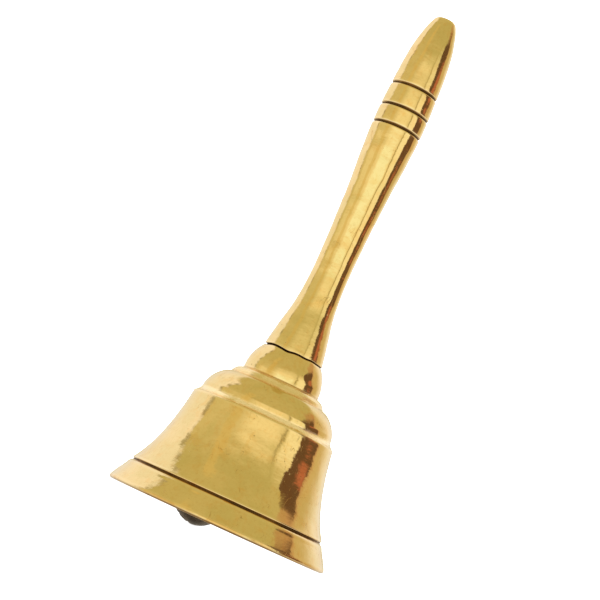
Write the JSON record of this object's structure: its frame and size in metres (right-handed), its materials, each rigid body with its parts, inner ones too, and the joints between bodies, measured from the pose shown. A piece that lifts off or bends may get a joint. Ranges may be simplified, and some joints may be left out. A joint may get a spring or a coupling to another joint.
{
  "type": "hand bell",
  "caption": "Turned brass hand bell: a flared cup with stepped shoulders, a slim solid handle with turned lines, and an iron ball clapper on a link.",
  "frame": {"origin": "on the bell's axis, level with the clapper ball's lowest point at rest, 2.4 mm below the rim's face", "axes": "+Z along the bell's axis from the mouth to the tip of the handle; at rest the clapper leans towards -X"},
  "size_m": [0.062, 0.062, 0.1524],
  "materials": {
    "brass": "turned and polished by hand, with fine lathe marks and light tarnish in the cut lines",
    "plated_steel": "dull zinc plating",
    "clapper_iron": "dark oiled iron, rubbed smooth where it strikes"
  },
  "bodies": {
    "bell": {"bell_cup": "brass", "handle": "brass", "eye_bolt": "plated_steel", "flat_washer": "plated_steel", "spring_washer": "plated_steel", "hex_nut": "plated_steel"},
    "link": {"clapper_link": "plated_steel"},
    "clapper": {"clapper_rod": "clapper_iron", "clapper_ball": "clapper_iron"}
  },
  "joints": [
    {"name": "link_swing", "type": "hinge", "parent": "bell", "child": "link", "pos_m": [0, 0, 0.0285], "axis": [1, 0, 0], "range_deg": [-15, 15]},
    {"name": "clapper_swing", "type": "hinge", "parent": "link", "child": "clapper", "pos_m": [0, 0, 0.0237], "axis": [0, 1, 0], "range_deg": [-71.5, 30]}
  ]
}
